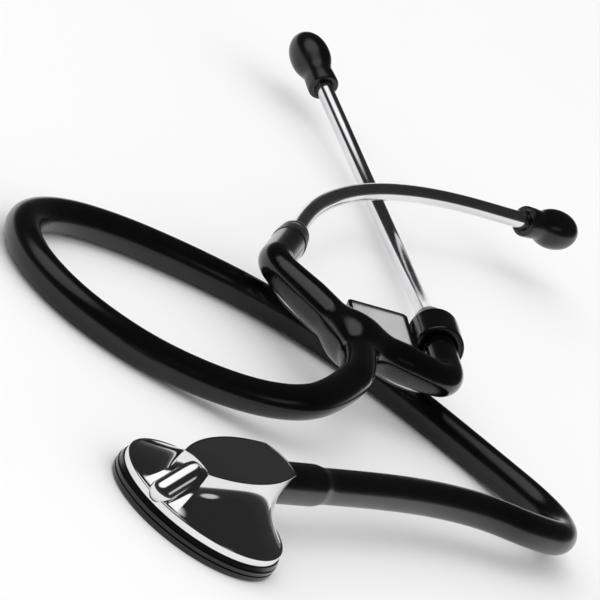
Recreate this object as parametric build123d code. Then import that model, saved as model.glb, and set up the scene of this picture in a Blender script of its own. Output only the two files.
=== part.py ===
from build123d import *
import os
from math import cos, pi, radians, sin, tan

# A single-head stethoscope lying on a flat surface, in millimetres, +Z up.
# The origin is the centre of the chestpiece rim, where it meets the surface.

# ---- chestpiece ----
RIM_R = 24.0  # outside of the rubber rim
RIM_H = 4.4
FLANGE_R = 23.2
SKIRT_R = 22.2  # the steel skirt that the rubber rim grips
SKIRT_Z = 2.4
FLANGE_TOP = 6.6
FLANK_R = 22.0  # where the concave flank leaves the flange
FLANK_SINK = 0.4  # how far the flank's foot is let into the flange
DIAPHRAGM_R = 19.6
DIAPHRAGM_T = 0.5
DIAPHRAGM_Z = 0.9
BODY_AZ = 62.5  # heading of the stem and of the long axis of the top plate
PLATE_CENTRE = 2.0  # along that axis
PLATE_Z = 19.0  # height at its centre
PLATE_NOSE = 20.0  # the end over the stem, its corners and the widest place
PLATE_CORNER = (18.0, 5.6)
PLATE_BROAD = (4.0, 9.2)
PLATE_HEEL = (-16.0, 4.8)
WAIST_SHARE = 0.16  # how far the waist is drawn in under the plate, as a share of its reach
PLATE_TILT = 5.5  # degrees, rising towards the stem
INLAY_T = 0.6
SCOOP_AXIS = -27.0  # where the finger scoop's own axis stands
SCOOP_R = 14.6
SCOOP_FLOOR = 7.2
RIB_R = 3.0
RIB_TOP = (-10.5, 15.2)  # distance along the axis and height of the rib's centre line
RIB_FOOT = (-21.4, 5.2)

# ---- stem and tube ----
STEM_Z = 13.5
STEM_R = 3.0
BORE_R = 1.5
STEM_IN = 7.0  # distances along the stem, from the rim's centre
STEM_OUT = 43.0
BOSS_END = 23.4
BOSS_R = 5.6
SLEEVE_START = 23.8
SLEEVE_END = 46.8
SLEEVE_R = 5.45
RUNNING = 0.06  # radial clearance of a turning fit
TUBE_D = 9.5
# The free tube from the sleeve to the yoke.
ROUTE = [
    (21.6, 41.5, 13.5), (28, 54.5, 13.3), (37.5, 73.5, 12.9), (48.5, 93.5, 12.4),
    (61, 111.5, 11.9), (74.5, 125.5, 10.8), (84, 143.5, 8.6), (77, 161.5, 6.2),
    (57, 170, 4.9), (31, 175.5, 4.9), (5, 177.5, 4.9), (-20, 170, 4.9),
    (-43, 156, 4.9), (-63, 139, 4.9), (-77.5, 118.5, 4.9), (-82, 96, 4.9),
    (-75, 77, 4.9), (-59, 66.5, 4.9), (-39, 67, 4.9), (-21.5, 75, 5.4),
    (-5, 83, 8.2), (6.5, 92.5, 12), (11.3, 105, 15.4), (12.3, 113, 17),
]

# ---- yoke ----
HUB = Vector(6.5, 146, 18.4)  # the arms spread about a vertical line through it
HUB_R = 8.3
HUB_H = 9.0
HUB_GAP = 0.4
STEM_PATH = [Vector(*ROUTE[-1]), Vector(13, 118.5, 18.1), Vector(11.2, 131, 18.4), HUB]
ARM_R = 4.7
ARM_BEND_R = 11.0
KNEE_R = 8.0  # where the arm turns into its cuff
SHEATH_W = 6.4
SHEATH_H = 3.4
SHEATH_DROP = 5.0  # from the arm's centre line to the sheath's
SHEATH_SPAN = (10.5, 36.0)  # along the arm, from the hub's axis
BLADE_T = 1.2

# ---- ear tubes: one shape, used twice ----
EAR_R = 2.5
EAR_WALL = 0.6
EAR_STRAIGHT = 11.0
EAR_BEND_R = 180.0
EAR_BEND = 40.0
EAR_END = 32.3
EAR_INSERT = 11.0  # how far a tube goes into its cuff
CUFF_R = 5.0
CUFF_L = 7.0
RING_L = 1.0
DOME_L = 6.0
TIP_R = 6.0
TIP_NECK_R = 4.6
TIP_L = 22.5
TIP_CANAL_R = 1.3
TUBE_IN_TIP = 13.0

# ---- name tag on the right cuff ----
CLIP_R = 7.1
CLIP_L = 12.0
TAG_W = 17.4
TAG_L = 25.0
TAG_T = 1.8
TAG_SLOPE = 15.0
TAG_BORDER = 1.1
LABEL_T = 0.3
WINDOW_T = 0.4
CLIP_BACK = 2.2  # from the clip to the arm's end
TAG_AHEAD = 0.6  # the plate's far edge, past the arm's end
TAG_DROP = 2.6  # the plate's right edge, below the arm's centre line

# start of the visible ear tube, heading, pitch, roll of the bend, bend vertex of the arm
SIDES = {
    "left": (Vector(-23, 200, 15.5), 91.6, 0.0, -2.0, Vector(-22.6, 159.5, 16.8), 1),
    "right": (Vector(20.6, 210, 15.2), 96.7, -12.5, -31.0, Vector(35, 163.5, 17.8), -1),
}


def direction(azimuth, pitch=0.0):
    """Unit vector at an azimuth from +X and a pitch above level, in degrees."""
    a = radians(azimuth)
    p = radians(pitch)
    return Vector(cos(p) * cos(a), cos(p) * sin(a), sin(p))


def sweep_circle(path, radius, bore=0.0):
    """A round bar, or a tube where there is a bore, along a path."""
    start = Plane(origin=path @ 0, z_dir=path % 0)
    bar = sweep(start * Circle(radius), path=path)
    if bore:
        bar -= sweep(start * Circle(bore), path=path)
    return bar


def route_radii(points):
    """The largest even arc at each corner: 0.45 of the shorter run, over tan(turn / 2)."""
    radii = []
    for before, here, after in zip(points, points[1:], points[2:]):
        first = here - before
        second = after - here
        turn = radians(first.get_angle(second))
        radii.append(0.45 * min(first.length, second.length) / tan(turn / 2))
    return radii


def turned(outline, place):
    """A solid turned about its own Z from (radius, height) points, put at a place."""
    flat = [(r, 0, z) for r, z in outline]
    profile = make_face(Polyline(*flat, close=True))
    return place * revolve(profile, axis=Axis.Z)


def bar(start, end, radius):
    """A straight round bar between two points."""
    along = end - start
    place = Plane(origin=start, z_dir=along).location
    return place * extrude(Circle(radius), amount=along.length)


parts = {}

# ---- chestpiece: steel body ----
body_place = Location((0, 0, 0), (0, 0, BODY_AZ))
plate_plane = body_place * Location((PLATE_CENTRE, 0, PLATE_Z), (0, -PLATE_TILT, 0))


def flange_profile():
    """Half section of the skirt and the flange, up to where the flank begins."""
    return make_face(Polyline(
        (0, 0, FLANGE_TOP), (0, 0, 5.4), (3.0, 0, 5.4), (18.4, 0, SKIRT_Z),
        (SKIRT_R, 0, SKIRT_Z), (SKIRT_R, 0, RIM_H), (FLANGE_R, 0, RIM_H),
        (FLANGE_R, 0, FLANGE_TOP - 0.6), (FLANGE_R - 0.6, 0, FLANGE_TOP), close=True))


def plate_outline(inset=0.0):
    """The top plate before its scoop: bowed sides, a blunt nose over the stem, a round heel."""
    nose = PLATE_NOSE - inset
    corner = Vector(PLATE_CORNER[0] - 0.8 * inset, PLATE_CORNER[1] - 0.8 * inset)
    broad = Vector(PLATE_BROAD[0], PLATE_BROAD[1] - inset)
    heel = Vector(PLATE_HEEL[0] + 0.8 * inset, PLATE_HEEL[1] - 0.8 * inset)

    def other(point):
        return Vector(point.X, -point.Y)

    return [
        ThreePointArc(heel, broad, corner),
        ThreePointArc(corner, Vector(nose, 0), other(corner)),
        ThreePointArc(other(corner), other(broad), other(heel)),
        ThreePointArc(other(heel), Vector(heel.X - 2.0, 0), heel),
    ]


SIDE_POINTS = 7  # points of a section along each edge of the plate's outline
END_POINTS = 3
FLANK_STEPS = (0.0, 0.12, 0.3, 0.55, 0.8, 1.0)


def flank():
    """The body between flange and plate: sections that pass from a circle to the plate."""
    rim_points = []
    for edge, count in zip(plate_outline(), (SIDE_POINTS, END_POINTS, SIDE_POINTS, END_POINTS)):
        rim_points += [edge @ ((i + 0.5) / count) for i in range(count)]
    sections = []
    for step in FLANK_STEPS:
        spread = (1 - step) ** 2.6
        draw = WAIST_SHARE * sin(pi * step**0.8)
        points = []
        for point in rim_points:
            far = point.length
            radius = far + (FLANK_R - far) * spread - far * draw
            points.append(point * (radius / far))
        foot = FLANGE_TOP - FLANK_SINK
        height = foot + step * (PLATE_Z - foot)
        place = body_place * Location((PLATE_CENTRE, 0, height), (0, -PLATE_TILT * step, 0))
        ring = make_face(Spline(*points, periodic=True))
        sections.append(place * Pos(-PLATE_CENTRE, 0, 0) * ring)
    return loft(sections)


def scoop():
    """The finger scoop opposite the stem: a flat floor that curves up to the plate."""
    top = PLATE_Z + 9
    bend = SCOOP_R - 6.4
    outline = Polyline((SCOOP_R, 0, SCOOP_FLOOR + 7.5), (SCOOP_R, 0, top), (0, 0, top),
                       (0, 0, SCOOP_FLOOR), (bend, 0, SCOOP_FLOOR))
    wall = ThreePointArc((bend, 0, SCOOP_FLOOR), (SCOOP_R - 2.0, 0, SCOOP_FLOOR + 2.5),
                         (SCOOP_R, 0, SCOOP_FLOOR + 7.5))
    face = make_face(outline + wall)
    return body_place * Location((SCOOP_AXIS, 0, 0)) * revolve(face, axis=Axis.Z)


def rib():
    """The half-round rib that runs down the middle of the scoop to the flange."""
    top = body_place * Location((RIB_TOP[0], 0, RIB_TOP[1]))
    foot = body_place * Location((RIB_FOOT[0], 0, RIB_FOOT[1]))
    rod = bar(top.position, foot.position, RIB_R)
    rod += Location(foot.position) * Sphere(RIB_R)
    keep = Location((0, 0, RIM_H + 1.0)) * Cylinder(
        FLANGE_R - 0.3, 14, align=(Align.CENTER, Align.CENTER, Align.MIN))
    return rod & keep


stem_dir = direction(BODY_AZ)


def stem_point(distance):
    return Vector(0, 0, STEM_Z) + stem_dir * distance


def stem_place(distance):
    return Plane(origin=stem_point(distance), z_dir=stem_dir).location


INLAY_EDGE = 0.7
inlay_face = make_face(Curve() + plate_outline(INLAY_EDGE))
inlay_floor = plate_plane * Location((-PLATE_CENTRE, 0, -INLAY_T))
inlay_blank = inlay_floor * extrude(inlay_face, amount=INLAY_T)
scoop_cut = scoop()
scoop_margin = body_place * Location((SCOOP_AXIS, 0, 0)) * Cylinder(
    SCOOP_R + INLAY_EDGE + 0.2, 60)
inlay = inlay_blank - scoop_margin

GROOVE_AT = 12.0
GROOVE_L = 1.6
RETAINER_R = 4.2
head = revolve(flange_profile(), axis=Axis.Z) + flank() - scoop_cut + rib()
head += bar(stem_point(12), stem_point(BOSS_END), BOSS_R)
head -= bar(stem_point(STEM_IN - 0.4), stem_point(BOSS_END + 1), STEM_R + RUNNING)
head -= stem_place(GROOVE_AT) * extrude(Circle(RETAINER_R + RUNNING), amount=GROOVE_L)
head -= bar(Vector(0, 0, 0), Vector(0, 0, STEM_Z), BORE_R)
head -= bar(Vector(0, 0, STEM_Z), stem_point(STEM_IN), BORE_R)
parts["chestpiece_body"] = head - inlay
parts["top_inlay"] = inlay

# ---- chestpiece: rubber rim, diaphragm and its surround ----
grooves = [(RIM_R - 0.5, 0.0), (RIM_R, 0.6), (RIM_R, 1.5), (RIM_R - 0.35, 1.75),
           (RIM_R, 2.0), (RIM_R, 2.9), (RIM_R - 0.3, 3.1), (RIM_R - 0.1, 3.4)]
rim_outline = [(20.6, 0.0)] + grooves + [
    (RIM_R - 0.5, RIM_H), (SKIRT_R, RIM_H), (SKIRT_R, 1.1), (20.6, 0.7)]
parts["non_chill_rim"] = turned(rim_outline, Location())
parts["diaphragm_surround"] = turned(
    [(19.9, 1.2), (SKIRT_R, 1.2), (SKIRT_R, SKIRT_Z), (20.3, SKIRT_Z), (19.9, 2.0)], Location())
parts["diaphragm"] = Location((0, 0, DIAPHRAGM_Z)) * extrude(
    Circle(DIAPHRAGM_R), amount=DIAPHRAGM_T)

# ---- stem, its retaining ring and the swollen end of the tube ----
stem = bar(stem_point(STEM_IN), stem_point(STEM_OUT), STEM_R)
for barb in (30.0, 35.0, 40.0):
    stem += stem_place(barb) * Cone(STEM_R + 0.5, STEM_R, 2.4)
stem -= bar(stem_point(STEM_IN - 1), stem_point(STEM_OUT + 2), BORE_R)
ring_slot = (GROOVE_L - 1.2) / 2
retainer = stem_place(GROOVE_AT + ring_slot) * extrude(
    Circle(RETAINER_R) - Circle(STEM_R), amount=1.2)
parts["stem"] = stem
parts["stem_retaining_ring"] = retainer
sleeve_l = SLEEVE_END - SLEEVE_START
sleeve = turned(
    [(0, 0), (SLEEVE_R - 0.3, 0), (SLEEVE_R, 0.5), (SLEEVE_R, sleeve_l - 5.0),
     (TUBE_D / 2 + 0.15, sleeve_l - 0.6), (TUBE_D / 2, sleeve_l), (0, sleeve_l)],
    stem_place(SLEEVE_START))
sleeve -= bar(stem_point(SLEEVE_START - 1), stem_point(STEM_OUT + 5), BORE_R)
parts["tube_end_sleeve"] = sleeve - bar(
    stem_point(SLEEVE_START - 1), stem_point(STEM_OUT), STEM_R) - stem

# ---- the free tube ----
route = [Vector(*point) for point in ROUTE]
radii = route_radii(route)
tube_path = FilletPolyline(*route, radius=radii)
tube = sweep_circle(tube_path, TUBE_D / 2)
parts["main_tube"] = tube
print("tube arc radii:", [round(r, 1) for r in radii])
print("tube length:", round(tube_path.length, 1))
print("volume over section times length:",
      round(tube.volume / (pi * TUBE_D**2 / 4 * tube_path.length), 4))

# ---- yoke stem and hub ----
neck = FilletPolyline(*STEM_PATH, radius=route_radii(STEM_PATH))
hub = Location(HUB) * Cylinder(HUB_R, HUB_H)
hub = fillet(hub.edges().filter_by(GeomType.CIRCLE), 3.0)
parts["yoke_stem"] = sweep_circle(neck, TUBE_D / 2) + hub
hub_clear = Location(HUB) * Cylinder(HUB_R + HUB_GAP, 3 * HUB_H)

ear_tangent = EAR_BEND_R * tan(radians(EAR_BEND / 2))
ear_local = [
    Vector(0, 0, -EAR_INSERT),
    Vector(0, 0, EAR_STRAIGHT + ear_tangent),
    Vector(sin(radians(EAR_BEND)), 0, cos(radians(EAR_BEND))) * (ear_tangent + EAR_END)
    + Vector(0, 0, EAR_STRAIGHT + ear_tangent),
]
ear_centreline = FilletPolyline(*ear_local, radius=EAR_BEND_R)


def ear_place(side):
    """The ear tube's frame: Z along its start, X towards the inside of its bend."""
    start, azimuth, pitch, roll, vertex, hand = SIDES[side]
    along = direction(azimuth, pitch)
    inward = direction(azimuth - 90 * hand)
    frame = Plane(origin=start, x_dir=inward, z_dir=along)
    return frame.location * Location((0, 0, 0), (0, 0, roll * hand))


def ear_tip(place):
    """A soft ear tip: neck, mushroom bulb and sound canal."""
    skin = [(0, 0), (TIP_NECK_R - 0.3, 0), (TIP_NECK_R, 0.6), (TIP_NECK_R - 0.2, 6.2),
            (4.9, 8.2), (TIP_R - 0.25, 11.0), (TIP_R, 13.8), (TIP_R - 0.5, 17.0),
            (4.3, TIP_L - 2.6), (2.8, TIP_L - 0.4), (1.8, TIP_L), (0, TIP_L)]
    tip = turned(skin, place)
    tip -= place * Cylinder(EAR_R + RUNNING, TUBE_IN_TIP + 0.2,
                            align=(Align.CENTER, Align.CENTER, Align.MIN))
    return tip - place * Cylinder(TIP_CANAL_R, 3 * TIP_L)


for side, (start, azimuth, pitch, roll, vertex, hand) in SIDES.items():
    cuff_back = start - direction(azimuth, pitch) * (DOME_L + RING_L + CUFF_L)
    elbow = start - direction(azimuth, pitch) * (DOME_L + RING_L + 1.0)
    corner = [HUB, vertex, cuff_back, elbow]
    turn = (vertex - HUB).get_angle(cuff_back - vertex)
    arm_radii = [ARM_BEND_R]
    if (cuff_back - vertex).get_angle(elbow - cuff_back) > 1.0:
        arm_radii.append(KNEE_R)
    else:
        corner.remove(cuff_back)
    arm_path = FilletPolyline(*corner, radius=arm_radii)
    arm_bar = sweep_circle(arm_path, ARM_R)

    # cuff, bright ring and dome on the arm's end, bored for the ear tube
    frame = ear_place(side)
    back = frame * Location((0, 0, -(DOME_L + RING_L + CUFF_L)))
    pocket = back * Location((0, 0, CUFF_L - 1.0 - 3.0)) * Cylinder(
        EAR_R + RUNNING, 40, align=(Align.CENTER, Align.CENTER, Align.MIN))
    cuff = turned([(0, 0), (CUFF_R - 0.5, 0), (CUFF_R, 0.8), (CUFF_R, CUFF_L), (0, CUFF_L)],
                  back)
    ring = turned([(0, CUFF_L), (CUFF_R - 0.35, CUFF_L), (CUFF_R - 0.35, CUFF_L + RING_L),
                   (0, CUFF_L + RING_L)], back)
    dome_z = CUFF_L + RING_L
    dome = turned([(0, dome_z), (CUFF_R - 0.4, dome_z), (CUFF_R - 0.6, dome_z + 2.2),
                   (CUFF_R - 1.2, dome_z + 4.2), (3.3, dome_z + DOME_L), (0, dome_z + DOME_L)],
                  back)
    arm = arm_bar - hub_clear - pocket - ring
    parts[side + "_yoke_arm"] = arm
    parts[side + "_cuff"] = cuff - arm_bar - pocket
    parts[side + "_cuff_ring"] = ring - pocket
    parts[side + "_cuff_dome"] = dome - pocket

    # the sheath under the arm, which holds one half of the leaf spring
    span = [along / arm_path.length for along in SHEATH_SPAN]
    sheath_path = Pos(0, 0, -SHEATH_DROP) * arm_path.trim(*span)
    section = Plane(origin=sheath_path @ 0, z_dir=sheath_path % 0, x_dir=Vector(0, 0, 1))
    blank = sweep(section * RectangleRounded(SHEATH_H, SHEATH_W, 1.4), path=sheath_path)
    low = section * Location((-SHEATH_H / 2 + BLADE_T, 0, 0))
    blade = sweep(low * Rectangle(BLADE_T, SHEATH_W - 2.4), path=sheath_path)
    parts[side + "_spring_sheath"] = blank - arm_bar - blade
    parts[side + "_spring_blade"] = blade

    # ear tube, its tip and the hard core inside the tip
    steel = sweep_circle(frame * ear_centreline, EAR_R, EAR_R - EAR_WALL)
    parts[side + "_ear_tube"] = steel
    end = (frame * ear_centreline) @ 1
    end_dir = (frame * ear_centreline) % 1
    tip_place = Plane(origin=end - end_dir * TUBE_IN_TIP, z_dir=end_dir).location
    tip = ear_tip(tip_place)
    core = turned([(EAR_R + RUNNING, 1.0), (3.4, 1.0), (3.4, 7.0), (EAR_R + RUNNING, 7.0)],
                  tip_place)
    parts[side + "_ear_tip_core"] = core
    parts[side + "_ear_tip"] = tip - core

# ---- name tag: clip around the right arm, frame, label and window ----
start, azimuth, pitch, roll, vertex, hand = SIDES["right"]
arm_end = start - direction(azimuth, pitch) * (DOME_L + RING_L + CUFF_L)
clip_axis = (arm_end - vertex).normalized()
clip_place = Plane(origin=arm_end - clip_axis * (CLIP_L + CLIP_BACK), z_dir=clip_axis).location
parts["tag_clip"] = turned(
    [(ARM_R + RUNNING, 0), (CLIP_R - 0.4, 0), (CLIP_R, 0.4), (CLIP_R, CLIP_L - 0.4),
     (CLIP_R - 0.4, CLIP_L), (ARM_R + RUNNING, CLIP_L)], clip_place)
tag_left = Vector(0, 0, 1).cross(clip_axis).normalized()
tag_up = clip_axis.cross(tag_left)
slope = radians(TAG_SLOPE)
tag_x = tag_left * cos(slope) - tag_up * sin(slope)
tag_z = tag_left * sin(slope) + tag_up * cos(slope)
tag_corner = (arm_end + clip_axis * TAG_AHEAD + tag_left * (CLIP_R + 0.2) - tag_up * TAG_DROP)
tag_centre = tag_corner + tag_x * (TAG_W / 2) - clip_axis * (TAG_L / 2)
tag_place = Plane(origin=tag_centre, x_dir=tag_x, z_dir=tag_z).location
slab = extrude(RectangleRounded(TAG_W, TAG_L, 1.6), amount=TAG_T)
well_shape = RectangleRounded(TAG_W - 2 * TAG_BORDER, TAG_L - 2 * TAG_BORDER, 0.9)
well = Pos(0, 0, TAG_T - LABEL_T - WINDOW_T) * extrude(well_shape, amount=TAG_T)
bridge = Pos(-TAG_W / 2 - 0.4, TAG_L / 2 - 1.0 - TAG_AHEAD - CLIP_BACK - CLIP_L / 2 + 1.0, 0) * Box(
    2.0, CLIP_L - 1.0, TAG_T, align=(Align.CENTER, Align.CENTER, Align.MIN))
clip_core = clip_place * Cylinder(CLIP_R - 0.2, 3 * CLIP_L)
parts["tag_frame"] = tag_place * (slab - well + bridge) - clip_core - parts["tag_clip"]
label_z = TAG_T - LABEL_T - WINDOW_T
parts["tag_label"] = tag_place * Pos(0, 0, label_z) * extrude(well_shape, amount=LABEL_T)
parts["tag_window"] = tag_place * Pos(0, 0, label_z + LABEL_T) * extrude(
    well_shape, amount=WINDOW_T)

os.makedirs("parts", exist_ok=True)
for name, solid in parts.items():
    export_step(solid, "parts/" + name + ".step")
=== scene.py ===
import math

import bmesh
import bpy
import numpy as np
from mathutils import Matrix, Vector


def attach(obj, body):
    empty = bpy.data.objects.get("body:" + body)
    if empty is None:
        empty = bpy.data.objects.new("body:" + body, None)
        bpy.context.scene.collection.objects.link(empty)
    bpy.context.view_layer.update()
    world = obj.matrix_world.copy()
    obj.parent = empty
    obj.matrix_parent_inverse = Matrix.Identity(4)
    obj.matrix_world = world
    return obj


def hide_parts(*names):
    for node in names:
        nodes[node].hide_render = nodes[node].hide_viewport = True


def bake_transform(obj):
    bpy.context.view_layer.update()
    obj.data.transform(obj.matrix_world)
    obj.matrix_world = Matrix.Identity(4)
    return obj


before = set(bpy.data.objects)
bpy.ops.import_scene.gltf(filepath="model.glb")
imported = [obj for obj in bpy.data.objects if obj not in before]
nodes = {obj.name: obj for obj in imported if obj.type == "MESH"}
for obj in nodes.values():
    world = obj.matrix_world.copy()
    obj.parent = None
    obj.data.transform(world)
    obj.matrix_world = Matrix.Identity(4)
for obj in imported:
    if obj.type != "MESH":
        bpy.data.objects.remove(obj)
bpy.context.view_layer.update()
scene = bpy.context.scene
MM = 0.001

# ---- camera ----
CAMERA_AT = (-0.01094, -1.6351, 0.5631)
CAMERA_PITCH = 72.962  # degrees from straight down
CAMERA_ROLL = 36.87
lens = bpy.data.cameras.new("camera")
lens.sensor_fit = "HORIZONTAL"
lens.sensor_width = 36.0
lens.lens = 420.0
lens.clip_start = 0.05
lens.clip_end = 60.0
camera = bpy.data.objects.new("camera", lens)
camera.matrix_world = (
    Matrix.Translation(CAMERA_AT)
    @ Matrix.Rotation(math.radians(CAMERA_PITCH), 4, "X")
    @ Matrix.Rotation(math.radians(CAMERA_ROLL), 4, "Z")
)
scene.collection.objects.link(camera)
scene.camera = camera


# ---- material nodes ----
def node(tree, kind, **settings):
    n = tree.nodes.new(kind)
    for key, value in settings.items():
        setattr(n, key, value)
    return n


def object_coordinates(tree, scale=(1, 1, 1)):
    source = node(tree, "ShaderNodeTexCoord")
    mapping = node(tree, "ShaderNodeMapping")
    mapping.inputs["Scale"].default_value = scale
    tree.links.new(source.outputs["Object"], mapping.inputs["Vector"])
    return mapping.outputs["Vector"]


def noise(tree, vector, scale, detail=3.0, roughness=0.5):
    n = node(tree, "ShaderNodeTexNoise")
    n.inputs["Scale"].default_value = scale
    n.inputs["Detail"].default_value = detail
    n.inputs["Roughness"].default_value = roughness
    tree.links.new(vector, n.inputs["Vector"])
    return n.outputs["Fac"]


def remap(tree, value, low, high, to_low, to_high):
    n = node(tree, "ShaderNodeMapRange")
    n.inputs["From Min"].default_value = low
    n.inputs["From Max"].default_value = high
    n.inputs["To Min"].default_value = to_low
    n.inputs["To Max"].default_value = to_high
    tree.links.new(value, n.inputs["Value"])
    return n.outputs["Result"]


def ramp(tree, value, stops):
    n = node(tree, "ShaderNodeValToRGB")
    elements = n.color_ramp.elements
    while len(elements) < len(stops):
        elements.new(0.5)
    for element, (position, colour) in zip(elements, stops):
        element.position = position
        element.color = (*colour, 1.0)
    tree.links.new(value, n.inputs["Fac"])
    return n.outputs["Color"]


def maths(tree, operation, a, b=None):
    n = node(tree, "ShaderNodeMath", operation=operation)
    for socket, value in zip(n.inputs, (a, b)):
        if value is None:
            continue
        if isinstance(value, (int, float)):
            socket.default_value = value
        else:
            tree.links.new(value, socket)
    return n.outputs["Value"]


def bump(tree, height, distance, strength=1.0, after=None):
    n = node(tree, "ShaderNodeBump")
    n.inputs["Distance"].default_value = distance
    n.inputs["Strength"].default_value = strength
    tree.links.new(height, n.inputs["Height"])
    if after is not None:
        tree.links.new(after, n.inputs["Normal"])
    return n.outputs["Normal"]


def surface(name, metallic=0.0, ior=1.5, coat=0.0, coat_roughness=0.05, specular=0.5):
    """A material with its shader and an empty slot for colour, roughness and normal."""
    material = bpy.data.materials.new(name)
    material.use_nodes = True
    tree = material.node_tree
    shader = tree.nodes["Principled BSDF"]
    shader.inputs["Metallic"].default_value = metallic
    shader.inputs["IOR"].default_value = ior
    shader.inputs["Coat Weight"].default_value = coat
    shader.inputs["Coat Roughness"].default_value = coat_roughness
    shader.inputs["Specular IOR Level"].default_value = specular
    return material, tree, shader


def moulded(name, dark, light, rough, grain=900.0, depth=0.00003, **kind):
    """Smooth moulded plastic or rubber: uneven colour, cloudy gloss and fine orange peel."""
    material, tree, shader = surface(name, **kind)
    place = object_coordinates(tree)
    cloud = noise(tree, place, 45.0, 4.0)
    colour = ramp(tree, cloud, [(0.3, dark), (0.7, light)])
    tree.links.new(colour, shader.inputs["Base Color"])
    gloss = remap(tree, noise(tree, place, 130.0, 5.0), 0.3, 0.7, rough[0], rough[1])
    tree.links.new(gloss, shader.inputs["Roughness"])
    peel = bump(tree, noise(tree, place, grain, 2.0), depth, 0.5)
    wave = bump(tree, noise(tree, place, 90.0, 1.0), depth * 4, 0.25, after=peel)
    tree.links.new(wave, shader.inputs["Normal"])
    return material


def steel(name, tint, rough, brushed=None):
    """Polished metal with faint scratches; brushed gives the stretch of its grain."""
    material, tree, shader = surface(name, metallic=1.0)
    place = object_coordinates(tree)
    cloud = noise(tree, place, 60.0, 3.0)
    darker = tuple(0.9 * c for c in tint)
    colour = ramp(tree, cloud, [(0.35, darker), (0.65, tint)])
    tree.links.new(colour, shader.inputs["Base Color"])
    grain = noise(tree, object_coordinates(tree, brushed or (1, 1, 1)), 1400.0, 3.0, 0.6)
    gloss = remap(tree, grain, 0.3, 0.7, rough[0], rough[1])
    tree.links.new(gloss, shader.inputs["Roughness"])
    scratches = bump(tree, grain, 0.000004, 0.3)
    tree.links.new(scratches, shader.inputs["Normal"])
    return material


GREY = 0.86
looks = {
    "polished_steel": steel("polished_steel", (GREY, GREY, 0.87), (0.05, 0.1)),
    "ear_steel": steel("ear_steel", (0.84, 0.84, 0.86), (0.08, 0.16), (0.2, 0.02, 1)),
    "spring_steel": steel("spring_steel", (0.88, 0.88, 0.88), (0.3, 0.38)),
    "ring_metal": steel("ring_metal", (0.88, 0.87, 0.85), (0.25, 0.35)),
    "brass": steel("brass", (0.75, 0.6, 0.32), (0.18, 0.3)),
    "dark_inlay": moulded("dark_inlay", (0.022,) * 3, (0.03,) * 3, (0.32, 0.42),
                          grain=2500.0, depth=0.00001),
    "rim_rubber": moulded("rim_rubber", (0.002,) * 3, (0.004,) * 3, (0.16, 0.26)),
    "surround_rubber": moulded("surround_rubber", (0.012,) * 3, (0.02,) * 3, (0.4, 0.55)),
    "diaphragm_sheet": moulded("diaphragm_sheet", (0.62, 0.62, 0.6), (0.7, 0.7, 0.68),
                               (0.25, 0.35), grain=3000.0, depth=0.00001),
    "tube_pvc": moulded("tube_pvc", (0.001,) * 3, (0.002,) * 3, (0.2, 0.28),
                        depth=0.00002, ior=1.42, coat=0.15, coat_roughness=0.1),
    "yoke_pvc": moulded("yoke_pvc", (0.001,) * 3, (0.002,) * 3, (0.12, 0.2),
                        depth=0.00002, ior=1.45, coat=0.2, coat_roughness=0.06),
    "cuff_plastic": moulded("cuff_plastic", (0.006,) * 3, (0.01,) * 3, (0.25, 0.36)),
    "tip_silicone": moulded("tip_silicone", (0.0015,) * 3, (0.003,) * 3, (0.2, 0.3)),
    "core_plastic": moulded("core_plastic", (0.3,) * 3, (0.35,) * 3, (0.4, 0.5)),
    "tag_plastic": moulded("tag_plastic", (0.0015,) * 3, (0.003,) * 3, (0.1, 0.2)),
    "tag_paper": moulded("tag_paper", (0.5,) * 3, (0.56,) * 3, (0.5, 0.6)),
}


def dress(name, look):
    """A CAD node takes a material in all its slots."""
    mesh = nodes[name].data
    mesh.materials.clear()
    mesh.materials.append(looks[look])


for name, look in {
    "chestpiece_body": "polished_steel",
    "top_inlay": "dark_inlay",
    "non_chill_rim": "rim_rubber",
    "diaphragm_surround": "surround_rubber",
    "diaphragm": "diaphragm_sheet",
    "stem": "ear_steel",
    "stem_retaining_ring": "brass",
    "tube_end_sleeve": "tube_pvc",
    "tag_clip": "tag_plastic",
    "tag_frame": "tag_plastic",
    "tag_label": "tag_paper",
    "yoke_stem": "yoke_pvc",
}.items():
    dress(name, look)
for side in ("left", "right"):
    for part, look in {
        "yoke_arm": "yoke_pvc",
        "cuff": "cuff_plastic",
        "cuff_ring": "ring_metal",
        "cuff_dome": "cuff_plastic",
        "spring_sheath": "yoke_pvc",
        "spring_blade": "spring_steel",
        "ear_tube": "ear_steel",
        "ear_tip_core": "core_plastic",
        "ear_tip": "tip_silicone",
    }.items():
        dress(side + "_" + part, look)

clear, clear_tree, clear_shader = surface("tag_clear")
clear_shader.inputs["Alpha"].default_value = 0.1
clear_shader.inputs["Base Color"].default_value = (0.9, 0.9, 0.9, 1.0)
clear_shader.inputs["Roughness"].default_value = 0.04
clear_peel = noise(clear_tree, object_coordinates(clear_tree), 700.0)
clear_tree.links.new(bump(clear_tree, clear_peel, 0.000005, 0.3), clear_shader.inputs["Normal"])
looks["tag_clear"] = clear
dress("tag_window", "tag_clear")

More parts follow.
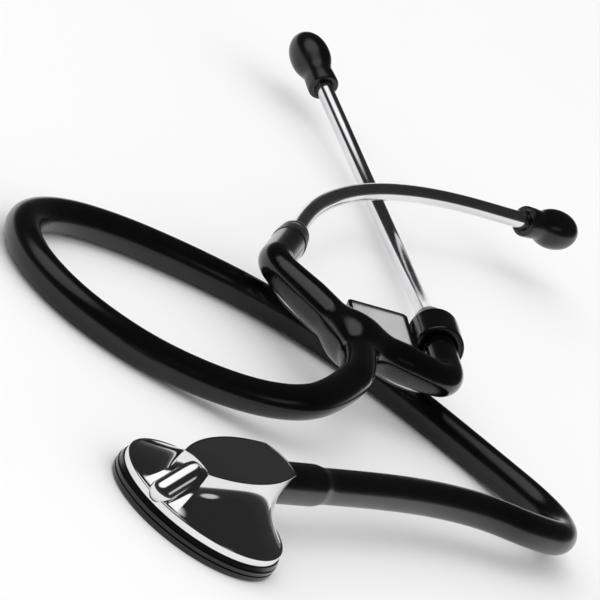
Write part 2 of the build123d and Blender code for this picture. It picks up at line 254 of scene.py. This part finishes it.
# ---- the free tube: the back run lies up to 4.1 mm inside the CAD route ----
TUBE_R = 4.75 * MM
ROUTE = [
    (21.6, 41.5, 13.5), (28, 54.5, 13.3), (37.5, 73.5, 12.9), (48.5, 93.5, 12.4),
    (61, 111.5, 11.9), (74.5, 125.5, 10.8), (84, 143.5, 8.6), (77, 161.5, 6.2),
    (57, 169, 4.9), (31.5, 172.5, 4.9), (6, 173.5, 4.9), (-19, 166, 4.9),
    (-42, 152, 4.9), (-62, 135.5, 4.9), (-76.5, 116.5, 4.9), (-82, 96, 4.9),
    (-75, 77, 4.9), (-59, 66.5, 4.9), (-39, 67, 4.9), (-21.5, 75, 5.4),
    (-5, 83, 8.2), (6.5, 92.5, 12), (11.3, 105, 15.4), (12.3, 113, 17),
]
line = bpy.data.curves.new("main_tube_looks", "CURVE")
line.dimensions = "3D"
line.bevel_depth = TUBE_R
line.bevel_resolution = 10
line.use_fill_caps = True
line.resolution_u = 24
spline = line.splines.new("NURBS")
spline.points.add(len(ROUTE) - 1)
for point, place in zip(spline.points, ROUTE):
    point.co = (*(c * MM for c in place), 1.0)
spline.order_u = 3
spline.use_endpoint_u = True
spline.use_smooth = True
line.materials.append(looks["tube_pvc"])
tube = bpy.data.objects.new("main_tube_looks", line)
scene.collection.objects.link(tube)
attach(tube, "tubing")
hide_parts("main_tube")


# ---- smooth solids ----
def heading(azimuth, pitch=0.0):
    a = math.radians(azimuth)
    p = math.radians(pitch)
    return Vector((math.cos(p) * math.cos(a), math.cos(p) * math.sin(a), math.sin(p)))


def eased(corners, rounds=5):
    """A smooth line that follows a few corners, as an array of points in millimetres."""
    line = np.array([tuple(c) for c in corners], float)
    for _ in range(rounds):
        first = 0.75 * line[:-1] + 0.25 * line[1:]
        second = 0.25 * line[:-1] + 0.75 * line[1:]
        middle = np.stack([first, second], 1).reshape(-1, 3)
        line = np.vstack([line[:1], middle[1:-1], line[-1:]])
    return line


def along(line):
    """Distance from the start at each point of a line."""
    steps = np.linalg.norm(np.diff(line, axis=0), axis=1)
    return np.concatenate([[0.0], np.cumsum(steps)])


def even(line, step):
    """The line's points again, evenly spaced."""
    far = along(line)
    at = np.linspace(0, far[-1], max(3, int(far[-1] / step)))
    return np.stack([np.interp(at, far, line[:, i]) for i in range(3)], 1)


def bar_field(points, line, radii):
    """Signed distance from points to a round bar of varying radius along a line."""
    best = np.full(len(points), 1e9)
    for a, b, ra, rb in zip(line, line[1:], radii, radii[1:]):
        ab = b - a
        t = np.clip(((points - a) @ ab) / (ab @ ab), 0, 1)
        gap = np.linalg.norm(points - a - t[:, None] * ab, axis=1) - (ra + (rb - ra) * t)
        best = np.minimum(best, gap)
    return best


def merged(a, b, k):
    """Smooth union of two distance fields."""
    h = np.clip(0.5 + 0.5 * (b - a) / k, 0, 1)
    return b * (1 - h) + a * h - k * h * (1 - h)


def gradient(field, points, step=0.02):
    columns = []
    for axis in range(3):
        shift = np.zeros(3)
        shift[axis] = step
        columns.append((field(points + shift) - field(points - shift)) / (2 * step))
    return np.stack(columns, 1)


def pulled(field, points, rounds=5):
    """Points moved along the field's gradient onto its zero surface."""
    for _ in range(rounds):
        slope = gradient(field, points)
        square = np.maximum((slope**2).sum(1), 0.05)
        points = points - (field(points) / square)[:, None] * slope
    return points


def add_object(name, mesh, look):
    piece = bpy.data.objects.new(name, mesh)
    scene.collection.objects.link(piece)
    mesh.materials.clear()
    mesh.materials.append(looks[look])
    return piece


def solid_from_field(name, field, lines, look, voxel=0.6):
    """A fine even mesh on the field's zero surface; lines are (points, radii) that fill it roughly."""
    rough = bpy.data.meshes.new(name)
    bm = bmesh.new()
    for line, radii in lines:
        for point, radius in zip(line, radii):
            place = Matrix.Translation(Vector(point))
            bmesh.ops.create_icosphere(bm, subdivisions=2, radius=radius, matrix=place)
    bm.to_mesh(rough)
    bm.free()
    piece = add_object(name, rough, look)
    remesh = piece.modifiers.new("remesh", "REMESH")
    remesh.mode = "VOXEL"
    remesh.voxel_size = voxel
    graph = bpy.context.evaluated_depsgraph_get()
    mesh = bpy.data.meshes.new_from_object(piece.evaluated_get(graph))
    piece.modifiers.clear()
    piece.data = mesh
    points = np.array([v.co for v in mesh.vertices], float)
    edges = np.array([e.vertices[:] for e in mesh.edges])
    points = pulled(field, points)
    for _ in range(4):
        total = np.zeros_like(points)
        count = np.zeros(len(points))
        for a, b in ((0, 1), (1, 0)):
            np.add.at(total, edges[:, a], points[edges[:, b]])
            np.add.at(count, edges[:, a], 1)
        points = 0.4 * points + 0.6 * total / count[:, None]
        points = pulled(field, points, 2)
    mesh.vertices.foreach_set("co", points.ravel())
    mesh.materials.clear()
    mesh.materials.append(looks[look])
    return piece


def smooth_normals(piece, field):
    """Exact normals from the field, so that a cut leaves no mark in the gloss."""
    points = np.array([v.co for v in piece.data.vertices], float)
    slope = gradient(field, points)
    slope /= np.maximum(np.linalg.norm(slope, axis=1), 1e-9)[:, None]
    piece.data.normals_split_custom_set_from_vertices([tuple(n) for n in slope])


def cut(piece, at, normal, keep_above, name):
    """A copy of the piece on one side of a plane, left open along the cut."""
    half = piece.copy()
    half.data = piece.data.copy()
    half.name = name
    half.data.name = name
    scene.collection.objects.link(half)
    bm = bmesh.new()
    bm.from_mesh(half.data)
    bmesh.ops.bisect_plane(bm, geom=bm.verts[:] + bm.edges[:] + bm.faces[:], plane_co=at,
                           plane_no=normal, clear_inner=keep_above, clear_outer=not keep_above)
    bm.to_mesh(half.data)
    bm.free()
    return half


def to_metres(piece):
    piece.data.transform(Matrix.Scale(MM, 4))


# ---- yoke: one moulding from the tube's end to both cuffs ----
HUB = Vector((6.5, 146, 18.4))
ARM_R = 4.8
EAR_AZ = {"left": 91.6, "right": 96.7}
ARMS = {  # bend of the arm, start of the ear tube and its heading, how far the bend reaches
    "left": (Vector((-22.6, 159.5, 16.8)), Vector((-23, 200, 15.5)), heading(EAR_AZ["left"]), 13.6),
    "right": (Vector((35, 163.5, 17.8)), Vector((20.6, 210, 15.2)), heading(EAR_AZ["right"], -12.5),
              18.4),
}
CUFF_BACK = 14.0  # from the start of the visible ear tube back to the cuff's end
MEETING = Vector((6.8, 143.4, 17.9))  # where the arms and the stem run together
stem_line = even(eased([ROUTE[-1], (13, 118.5, 18.1), (11.2, 131, 18.4), MEETING]), 1.0)
arm_lines = {}
for side, (bend, start, tube_way, spread) in ARMS.items():
    into = (bend - MEETING).normalized()
    cuff_end = start - tube_way * CUFF_BACK
    out = (cuff_end - bend).normalized()
    arm_lines[side] = even(eased([MEETING, bend - into * spread, bend, bend + out * spread * 0.9,
                                  cuff_end, start - tube_way * 11.0]), 1.0)

SPRING_SPAN = 32.0  # along the arm, from the hub
SPRING_TAIL = {"left": 20.0, "right": 0.0}  # back along the stem
SPRING_H = {"left": 1.9, "right": 2.1}
RIM_BAR_R = 0.7


def spring_line(side):
    """Centre line of the arm over the spring, from its outer end inwards, and 0 to 1 along it."""
    line = arm_lines[side]
    kept = line[along(line) <= SPRING_SPAN][::-1]
    if SPRING_TAIL[side]:
        back = stem_line[::-1]
        kept = np.vstack([kept, back[along(back) <= SPRING_TAIL[side]][1:]])
    else:
        kept = kept[along(kept) <= SPRING_SPAN - 7.0]
    kept = even(eased(kept[:: 6].tolist() + [kept[-1].tolist()], 2), 0.8)
    far = along(kept)
    return kept, far / far[-1]


def spring_opening(side, share):
    """Height of the gap under the arm in which the spring shows."""
    lens = np.sin(np.pi * share) ** 0.75
    if side == "left":
        first = np.clip(share / 0.56, 0, 1)
        lens = np.maximum(np.sin(np.pi * first**0.8) ** 0.7 * (first < 1), 0)
        lens = np.maximum(lens, 0.42 * np.sin(np.pi * share) ** 0.6)
    return SPRING_H[side] * lens


under_bars = {}
springs = {}
for side in ARMS:
    line, share = spring_line(side)
    gap = spring_opening(side, share)
    still = np.zeros_like(gap)
    under = line - np.stack([still, still, ARM_R - 0.9 + gap], 1)
    under_bars[side] = (under, np.full(len(under), RIM_BAR_R))
    middle = line - np.stack([still, still, ARM_R - 1.4 + 0.5 * gap], 1)
    springs[side] = (middle, 0.5 * gap + 0.5)

yoke_lines = [(stem_line, np.linspace(4.77, 4.9, len(stem_line)))]
for side, line in arm_lines.items():
    yoke_lines.append((line, np.interp(along(line), [0, 8, 18, 30], [4.9, 5.4, 5.5, ARM_R])))


def yoke_field(points):
    field = bar_field(points, *yoke_lines[0])
    for line, radii in yoke_lines[1:]:
        field = merged(field, bar_field(points, line, radii), 7.0)
    for line, radii in under_bars.values():
        field = merged(field, bar_field(points, line, radii), 1.0)
    return field


def blend_at_hub(piece):
    """The piece's placement is baked into its mesh."""
    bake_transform(piece)


yoke = solid_from_field("yoke_whole", yoke_field, yoke_lines + list(under_bars.values()),
                        "yoke_pvc", voxel=0.55)
middle_way = (Vector(stem_line[-1]) - Vector(stem_line[-14])).normalized()
across = Vector((middle_way.y, -middle_way.x, 0)).normalized()
for side, sign in (("left", -1), ("right", 1)):
    half = cut(yoke, HUB, across, sign > 0, side + "_yoke_looks")
    smooth_normals(half, yoke_field)
    to_metres(half)
    blend_at_hub(half)
    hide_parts(side + "_yoke_arm", side + "_spring_sheath")
    if side == "left":
        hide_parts("yoke_stem")
bpy.data.objects.remove(yoke)

# ---- springs: polished strips that show between arm and rim ----
SPRING_W = 2.3
RING_SIDES = 32
for side in ARMS:
    line, halves = springs[side]
    mesh = bpy.data.meshes.new(side + "_spring_looks")
    bm = bmesh.new()
    rings = []
    for i, (centre, half) in enumerate(zip(line, halves)):
        ahead = line[min(i + 1, len(line) - 1)] - line[max(i - 1, 0)]
        side_way = Vector((ahead[1], -ahead[0], 0)).normalized()
        width = SPRING_W * min(1.0, 0.35 + half / 2.0)
        ring = []
        for k in range(RING_SIDES):
            turn = 2 * math.pi * k / RING_SIDES
            offset = side_way * width * math.cos(turn) + Vector((0, 0, half * math.sin(turn)))
            ring.append(bm.verts.new(Vector(centre) + offset))
        rings.append(ring)
    for ring, after in zip(rings, rings[1:]):
        for k in range(RING_SIDES):
            bm.faces.new((ring[k], ring[(k + 1) % RING_SIDES],
                          after[(k + 1) % RING_SIDES], after[k]))
    bm.faces.new(rings[0][::-1])
    bm.faces.new(rings[-1])
    for face in bm.faces:
        face.smooth = True
    bmesh.ops.recalc_face_normals(bm, faces=bm.faces)
    bm.to_mesh(mesh)
    bm.free()
    strip = add_object(side + "_spring_looks", mesh, "spring_steel")
    to_metres(strip)
    blend_at_hub(strip)
    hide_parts(side + "_spring_blade")


# ---- turned pieces ----
def turned(name, profile, place, look, sides=96, smooth=2):
    """A surface turned about its own Z from (radius, height) points in millimetres.

    It is open at an end whose last point isn't on the axis.
    """
    line = np.array([(r, 0.0, z) for r, z in profile], float)
    if smooth:
        line = eased(line, smooth)
    mesh = bpy.data.meshes.new(name)
    bm = bmesh.new()
    rings = []
    for radius, _, height in line:
        if radius < 1e-6:
            rings.append([bm.verts.new((0, 0, height))])
            continue
        rings.append([bm.verts.new((radius * math.cos(2 * math.pi * k / sides),
                                    radius * math.sin(2 * math.pi * k / sides), height))
                      for k in range(sides)])
    for ring, after in zip(rings, rings[1:]):
        for k in range(sides):
            j = (k + 1) % sides
            if len(ring) == 1:
                bm.faces.new((ring[0], after[k], after[j]))
            elif len(after) == 1:
                bm.faces.new((ring[k], after[0], ring[j]))
            else:
                bm.faces.new((ring[k], after[k], after[j], ring[j]))
    for face in bm.faces:
        face.smooth = True
    bmesh.ops.recalc_face_normals(bm, faces=bm.faces)
    bm.to_mesh(mesh)
    bm.free()
    mesh.transform(Matrix.Scale(MM, 4) @ place)
    return add_object(name, mesh, look)


def place_along(origin, way, x_way=None):
    z = Vector(way).normalized()
    x = Vector(x_way) if x_way is not None else z.orthogonal()
    x = (x - z * x.dot(z)).normalized()
    y = z.cross(x)
    m = Matrix((x, y, z)).transposed().to_4x4()
    m.translation = Vector(origin)
    return m


EAR_BEND = math.radians(40)
EAR_BEND_R = 180.0
EAR_STRAIGHT = 11.0
EAR_END = 32.3
TUBE_IN_TIP = 13.0
ROLL = {"left": -2.0, "right": 31.0}
for side, (_, start, tube_way, _) in ARMS.items():
    hand = 1 if side == "left" else -1
    flat_way = heading(EAR_AZ[side])
    inward = Vector((flat_way.y, -flat_way.x, 0)) * hand
    place = place_along(start, tube_way, inward) @ Matrix.Rotation(
        math.radians(ROLL[side]), 4, "Z")
    reach = EAR_BEND_R * math.tan(EAR_BEND / 2)
    way = Vector((math.sin(EAR_BEND), 0, math.cos(EAR_BEND)))
    end = Vector((0, 0, EAR_STRAIGHT + reach)) + way * (reach + EAR_END)
    tip_place = place @ place_along(end - way * TUBE_IN_TIP, way)
    tip = turned(side + "_ear_tip_looks", [
        (2.6, 0.6), (3.2, 0.0), (4.1, 0.0), (4.55, 0.3), (4.6, 1.0), (4.55, 3.6),
        (4.35, 5.6), (4.4, 7.2), (5.0, 9.0), (5.75, 11.2), (6.0, 13.6), (5.85, 16.0),
        (5.3, 18.4), (4.3, 20.4), (3.1, 21.8), (2.4, 22.4), (1.7, 22.4), (1.35, 21.8),
        (1.3, 20.0), (1.3, 17.0), (0.0, 17.0)], tip_place, "tip_silicone")
    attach(tip, side + "_tip_body")
    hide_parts(side + "_ear_tip")


# ---- chestpiece: a flank that sweeps from a round flange to a leaf-shaped plate, and a rib ----
BODY_AZ = 62.5
FLANGE_R = 23.2
FLANGE_TOP = 6.6
FLANK_R = 22.3
PLATE_Z = 19.0
PLATE_TILT = math.tan(math.radians(5.5))
PLATE_CENTRE = 2.0
SIDE_ARC = (Vector((3.5, -34.8)), 44.0)  # centre and radius of one bowed side
NOSE_ARC = (Vector((10.9, 0)), 10.6)
NOSE_COS = math.cos(math.radians(24))  # the nose arc counts only this near the stem
NOTCH_ARC = (Vector((-23.5, 0)), 8.95)
RIB_TOP = Vector((-12.4, 0, 14.8))
RIB_FOOT = Vector((-20.6, 0, 7.2))
RIB_R = 3.5
SHARP_ANGLE = math.radians(38)  # a steeper edge than this isn't shaded smooth
FINE_STEPS = 7201
CORNER_STEP = 2.0  # change of slope that marks a corner of the plate
CORNER_GAP = 0.006  # no other point lies nearer to a corner, in radians
HEEL_TURNS = (0.78 * math.pi, 1.22 * math.pi)  # the notched heel takes more points
FLANK_RINGS = 90
SWEEP = 2.05  # how quickly the flank leaves the flange
WAIST = 0.045  # share of the plate's reach by which the flank draws in
SKIRT_RINGS = ((20.4, 2.6), (22.1, 2.6), (22.1, 4.42))  # radius and height
FLANGE_RINGS = ((23.05, 4.42), (FLANGE_R, 4.5), (FLANGE_R, 5.2), (FLANGE_R, 6.1),
                (23.14, 6.36), (22.98, 6.53), (22.7, FLANGE_TOP))
LIP_RINGS = ((0.06, -0.07), (0.2, -0.1), (0.42, -0.1), (0.5, -0.04), (0.52, 0.3))  # inset and drop
INLAY_RINGS = ((0.56, -0.2), (0.56, -0.02), (0.68, 0.05), (0.9, 0.06), (4.0, 0.06))  # inset and lift


def ray_to_circle(azimuth, centre, radius, far=True):
    """How far from the origin a ray meets a circle."""
    way = Vector((math.cos(azimuth), math.sin(azimuth)))
    middle = way.dot(centre)
    inside = middle**2 - centre.length_squared + radius**2
    if inside < 0:
        return 1e3
    return middle + (1 if far else -1) * math.sqrt(inside)


def plate_reach(azimuth):
    centre, radius = SIDE_ARC
    mirrored = Vector((centre.x, -centre.y))
    found = [ray_to_circle(azimuth, centre, radius), ray_to_circle(azimuth, mirrored, radius)]
    if math.cos(azimuth) > NOSE_COS:
        found.append(ray_to_circle(azimuth, *NOSE_ARC))
    if math.cos(azimuth) < 0:
        found.append(ray_to_circle(azimuth, *NOTCH_ARC, far=False))
    return min(found)


fine = np.linspace(0, 2 * math.pi, FINE_STEPS)
reaches = np.array([plate_reach(a) for a in fine])
curl = np.gradient(reaches, fine)
jumps = np.abs(np.diff(curl))
corner_azimuths = [fine[i] for i in range(1, len(jumps) - 1)
                   if jumps[i] > CORNER_STEP and jumps[i] >= max(jumps[i - 1], jumps[i + 1])]
turns = np.union1d(np.linspace(0, 2 * math.pi, 420, endpoint=False),
                   np.linspace(*HEEL_TURNS, 160))
turns = turns[[all(abs(t - c) > CORNER_GAP for c in corner_azimuths) for t in turns]]
turns = np.union1d(turns, corner_azimuths)


def plate_height(x):
    return PLATE_Z + (x - PLATE_CENTRE) * PLATE_TILT


def flank_radius(reach, share):
    """Radius of the flank at a share of the way up, from flange to plate."""
    spread = (1 - share) ** SWEEP
    draw = WAIST * np.sin(np.pi * share**0.85)
    return reach + (FLANK_R - reach) * spread - reach * draw


def ring_at(radius, height):
    """Points of one ring; radius and height are arrays over the azimuths, or single numbers."""
    return np.stack([radius * np.cos(turns), radius * np.sin(turns),
                     np.zeros(len(turns)) + height], 1)


plate_r = np.interp(turns, fine, reaches)
rings = [ring_at(r, z) for r, z in SKIRT_RINGS + FLANGE_RINGS]
for share in np.linspace(0.0, 1.0, FLANK_RINGS):
    top = plate_height(plate_r * np.cos(turns))
    height = FLANGE_TOP + share * (top - FLANGE_TOP)
    rings.append(ring_at(flank_radius(plate_r, share), height))
edge = rings[-1]
for inset, drop in LIP_RINGS:
    ring = edge.copy()
    ring[:, :2] *= (1 - inset / plate_r)[:, None]
    ring[:, 2] = plate_height(ring[:, 0]) - drop
    rings.append(ring)


def mesh_from_rings(name, rings, look):
    """A closed solid through rings of points, with a flat cap at each end."""
    mesh = bpy.data.meshes.new(name)
    bm = bmesh.new()
    rows = [[bm.verts.new(tuple(p)) for p in ring] for ring in rings]
    count = len(rows[0])
    for row, after in zip(rows, rows[1:]):
        for k in range(count):
            j = (k + 1) % count
            bm.faces.new((row[k], row[j], after[j], after[k]))
    for row in (rows[0], rows[-1]):
        middle = bm.verts.new(sum((v.co for v in row), Vector()) / count)
        for k in range(count):
            bm.faces.new((row[k], row[(k + 1) % count], middle))
    for face in bm.faces:
        face.smooth = True
    bmesh.ops.recalc_face_normals(bm, faces=bm.faces)
    for e in bm.edges:
        if len(e.link_faces) == 2 and e.calc_face_angle(0) > SHARP_ANGLE:
            e.smooth = False
    bm.to_mesh(mesh)
    bm.free()
    mesh.transform(Matrix.Scale(MM, 4) @ Matrix.Rotation(math.radians(BODY_AZ), 4, "Z"))
    return add_object(name, mesh, look)


body = mesh_from_rings("chestpiece_body_looks", rings, "polished_steel")
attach(body, "chestpiece")
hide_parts("chestpiece_body")

turn = Matrix.Rotation(math.radians(BODY_AZ), 3, "Z")
rib_start, rib_end = turn @ RIB_FOOT, turn @ RIB_TOP
rib_length = (rib_end - rib_start).length
foot = [(RIB_R * math.sin(a), -RIB_R * math.cos(a)) for a in np.linspace(0.06, math.pi / 2, 16)]
rib = turned("chestpiece_rib_looks", foot + [(RIB_R, rib_length), (RIB_R * 0.6, rib_length + 0.6)],
             place_along(rib_start, (rib_end - rib_start).normalized()), "polished_steel")
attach(rib, "chestpiece")
inlay_rings = []
for inset, lift in INLAY_RINGS:
    ring = edge.copy()
    ring[:, :2] *= (1 - inset / plate_r)[:, None]
    ring[:, 2] = plate_height(ring[:, 0]) + lift
    inlay_rings.append(ring)
inlay = mesh_from_rings("top_inlay_looks", inlay_rings, "dark_inlay")
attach(inlay, "chestpiece")
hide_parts("top_inlay")

# ---- the swollen end of the tube, over the stem ----
stem_way = heading(BODY_AZ)
sleeve = turned("tube_end_sleeve_looks", [
    (3.05, 21.4), (3.05, 20.3), (4.2, 20.0), (5.0, 20.05), (5.4, 20.4), (5.45, 21.2),
    (5.45, 26.0), (5.45, 40.4), (5.42, 41.6), (5.2, 43.0), (4.92, 44.6), (4.78, 46.0),
    (4.74, 47.2), (4.6, 47.6), (4.0, 47.6)],
    place_along((0, 0, 13.5), stem_way), "tube_pvc")
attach(sleeve, "tubing")
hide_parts("tube_end_sleeve")

# ---- cuffs: a ribbed collar, a bright ring and a dome that the ear tube leaves ----
DOME_L = 6.0
RING_L = 1.0
CUFF_L = 7.0
for side, (_, start, tube_way, _) in ARMS.items():
    place = place_along(start, tube_way)
    base = -CUFF_BACK
    collar = turned(side + "_cuff_looks", [
        (4.2, base + 0.8), (4.75, base + 0.1), (4.95, base + 0.2), (5.0, base + 0.8),
        (4.95, base + 3.0), (4.85, base + 3.3), (4.7, base + 3.5), (4.7, base + 3.8),
        (4.8, base + 4.0), (4.75, base + 5.6), (4.65, base + 5.8), (4.5, base + 6.0),
        (4.5, base + 6.3), (4.6, base + 6.5), (4.6, base + CUFF_L), (3.0, base + CUFF_L)],
        place, "cuff_plastic", smooth=1)
    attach(collar, side + "_arm")
    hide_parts(side + "_cuff")
    band = turned(side + "_cuff_ring_looks", [
        (3.0, base + CUFF_L), (4.3, base + CUFF_L), (4.55, base + CUFF_L + 0.15),
        (4.6, base + CUFF_L + 0.45), (4.5, base + CUFF_L + 0.8), (4.2, base + CUFF_L + RING_L),
        (3.0, base + CUFF_L + RING_L)], place, "ring_metal", smooth=1)
    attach(band, side + "_arm")
    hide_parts(side + "_cuff_ring")
    dome = turned(side + "_cuff_dome_looks", [
        (3.0, -DOME_L), (4.1, -DOME_L), (4.45, -DOME_L + 0.3), (4.45, -DOME_L + 1.4),
        (4.25, -DOME_L + 2.4), (3.95, -DOME_L + 3.6), (3.6, -DOME_L + 4.8),
        (3.35, -DOME_L + 5.6), (3.1, -DOME_L + 5.95), (2.75, -DOME_L + 5.8),
        (2.7, -DOME_L + 4.8)], place, "cuff_plastic", smooth=2)
    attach(dome, side + "_arm")
    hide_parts(side + "_cuff_dome")

# ---- name tag: a glossy drum for a clip, and generic marks at the arm's end of the label ----
bend, start, tube_way, _ = ARMS["right"]
arm_end = start - tube_way * CUFF_BACK
clip_way = (arm_end - bend).normalized()
CLIP_L = 12.0
CLIP_R = 7.1
CLIP_BACK = 2.2
clip = turned("tag_clip_looks", [
    (4.95, 2.5), (4.95, 0.6), (5.2, 0.1), (5.6, 0.0), (6.5, 0.0), (6.9, 0.15), (7.1, 0.6),
    (7.1, 1.6), (7.1, 6.0), (7.1, 10.4), (7.1, 11.4), (6.9, 11.85), (6.5, 12.0), (5.6, 12.0),
    (5.2, 11.9), (4.95, 11.4), (4.95, 9.5)],
    place_along(arm_end - clip_way * (CLIP_L + CLIP_BACK), clip_way), "tag_plastic", smooth=2)
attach(clip, "name_tag")
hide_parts("tag_clip")

TAG_W = 17.4
TAG_L = 25.0
TAG_T = 1.8
tag_left = Vector((0, 0, 1)).cross(clip_way).normalized()
tag_up = clip_way.cross(tag_left)
TAG_TILT = math.radians(15.0)
tag_x = tag_left * math.cos(TAG_TILT) - tag_up * math.sin(TAG_TILT)
tag_z = tag_left * math.sin(TAG_TILT) + tag_up * math.cos(TAG_TILT)
tag_corner = arm_end + clip_way * 0.6 + tag_left * (CLIP_R + 0.2) - tag_up * 2.6
tag_place = place_along(tag_corner + tag_x * (TAG_W / 2) - clip_way * (TAG_L / 2), tag_z, tag_x)


def mark(name, outline, look, height=0.06):
    """A thin printed shape on the label, from (x, y) points in the tag's own plane."""
    mesh = bpy.data.meshes.new(name)
    bm = bmesh.new()
    face = bm.faces.new([bm.verts.new((x, y, 0)) for x, y in outline])
    top = bmesh.ops.extrude_face_region(bm, geom=[face])["geom"]
    bmesh.ops.translate(bm, vec=(0, 0, height),
                        verts=[v for v in top if isinstance(v, bmesh.types.BMVert)])
    bmesh.ops.recalc_face_normals(bm, faces=bm.faces)
    bm.to_mesh(mesh)
    bm.free()
    mesh.transform(Matrix.Scale(MM, 4) @ tag_place @ Matrix.Translation((0, 0, TAG_T - 0.39)))
    piece = add_object(name, mesh, look)
    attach(piece, "name_tag")


looks["mark_green"] = moulded("mark_green", (0.01, 0.32, 0.2), (0.02, 0.38, 0.25), (0.5, 0.6))
looks["mark_grey"] = moulded("mark_grey", (0.13,) * 3, (0.17,) * 3, (0.5, 0.6))
mark("tag_mark_leaf", [(-4.0, 8.6), (-2.6, 9.4), (-0.6, 10.2), (-2.0, 8.6), (-3.6, 7.9)],
     "mark_green")
for i in range(3):
    low = 8.0 + 0.9 * i
    mark("tag_mark_bar_%d" % i, [(-6.8, low), (-5.0, low), (-5.0, low + 0.5), (-6.8, low + 0.5)],
         "mark_grey")

# ---- light and floor ----
def stage_light(name, at, towards, size, power):
    """A soft lamp that lights surfaces but isn't seen in their gloss."""
    data = bpy.data.lights.new(name, "AREA")
    data.shape = "RECTANGLE"
    data.size, data.size_y = size
    data.energy = power
    lamp = bpy.data.objects.new(name, data)
    lamp.location = at
    aim = Vector(towards) - Vector(at)
    lamp.rotation_euler = aim.to_track_quat("-Z", "Y").to_euler()
    lamp.visible_glossy = False
    scene.collection.objects.link(lamp)


floor_mesh = bpy.data.meshes.new("floor")
floor_mesh.from_pydata([(-9, -9, 0), (9, -9, 0), (9, 9, 0), (-9, 9, 0)], [], [(0, 1, 2, 3)])
floor = bpy.data.objects.new("floor", floor_mesh)
scene.collection.objects.link(floor)
floor_look, floor_tree, floor_shader = surface("floor", specular=0.1)
floor_shader.inputs["Roughness"].default_value = 0.9
floor_colour = ramp(floor_tree, noise(floor_tree, object_coordinates(floor_tree), 3.0),
                    [(0.3, (0.9, 0.9, 0.9)), (0.7, (0.92, 0.92, 0.92))])
floor_tree.links.new(floor_colour, floor_shader.inputs["Base Color"])
floor_mesh.materials.append(floor_look)

world = bpy.data.worlds.new("studio")
world.use_nodes = True
scene.world = world
sky = world.node_tree
background = sky.nodes["Background"]
background.inputs["Color"].default_value = (1, 1, 1, 1)
background.inputs["Strength"].default_value = 1.0
seen = node(sky, "ShaderNodeBackground")
seen.inputs["Strength"].default_value = 1.0
direction = node(sky, "ShaderNodeTexCoord").outputs["Generated"]
parts = node(sky, "ShaderNodeSeparateXYZ")
sky.links.new(direction, parts.inputs["Vector"])
height = ramp(sky, parts.outputs["Z"], [
    (0.0, (0.8,) * 3), (0.05, (0.12,) * 3), (0.16, (0.035,) * 3), (0.5, (0.022,) * 3),
    (1.0, (0.02,) * 3)])
total = height
SOFTBOXES = [  # direction, cosine at its edge, softness, brightness
    ((-0.53, -0.05, 0.85), 0.84, 0.08, 1.15),
    ((0.75, -0.35, 0.55), 0.985, 0.01, 0.6),
]
for aim, edge, soft, bright in SOFTBOXES:
    dot = node(sky, "ShaderNodeVectorMath", operation="DOT_PRODUCT")
    sky.links.new(direction, dot.inputs[0])
    dot.inputs[1].default_value = Vector(aim).normalized()
    patch = remap(sky, dot.outputs["Value"], edge, edge + soft, 0.0, bright)
    add = node(sky, "ShaderNodeMix", data_type="RGBA", blend_type="ADD")
    add.inputs["Factor"].default_value = 1.0
    sky.links.new(total, add.inputs[6])
    sky.links.new(patch, add.inputs[7])
    total = add.outputs[2]
sky.links.new(total, seen.inputs["Color"])
mix = node(sky, "ShaderNodeMixShader")
path = node(sky, "ShaderNodeLightPath")
sky.links.new(path.outputs["Is Glossy Ray"], mix.inputs["Fac"])
sky.links.new(background.outputs[0], mix.inputs[1])
sky.links.new(seen.outputs[0], mix.inputs[2])
sky.links.new(mix.outputs[0], sky.nodes["World Output"].inputs["Surface"])
stage_light("key", (-0.5, -0.3, 1.4), (0, 0.1, 0), (0.8, 0.8), 2.5)
scene.view_settings.view_transform = "Standard"
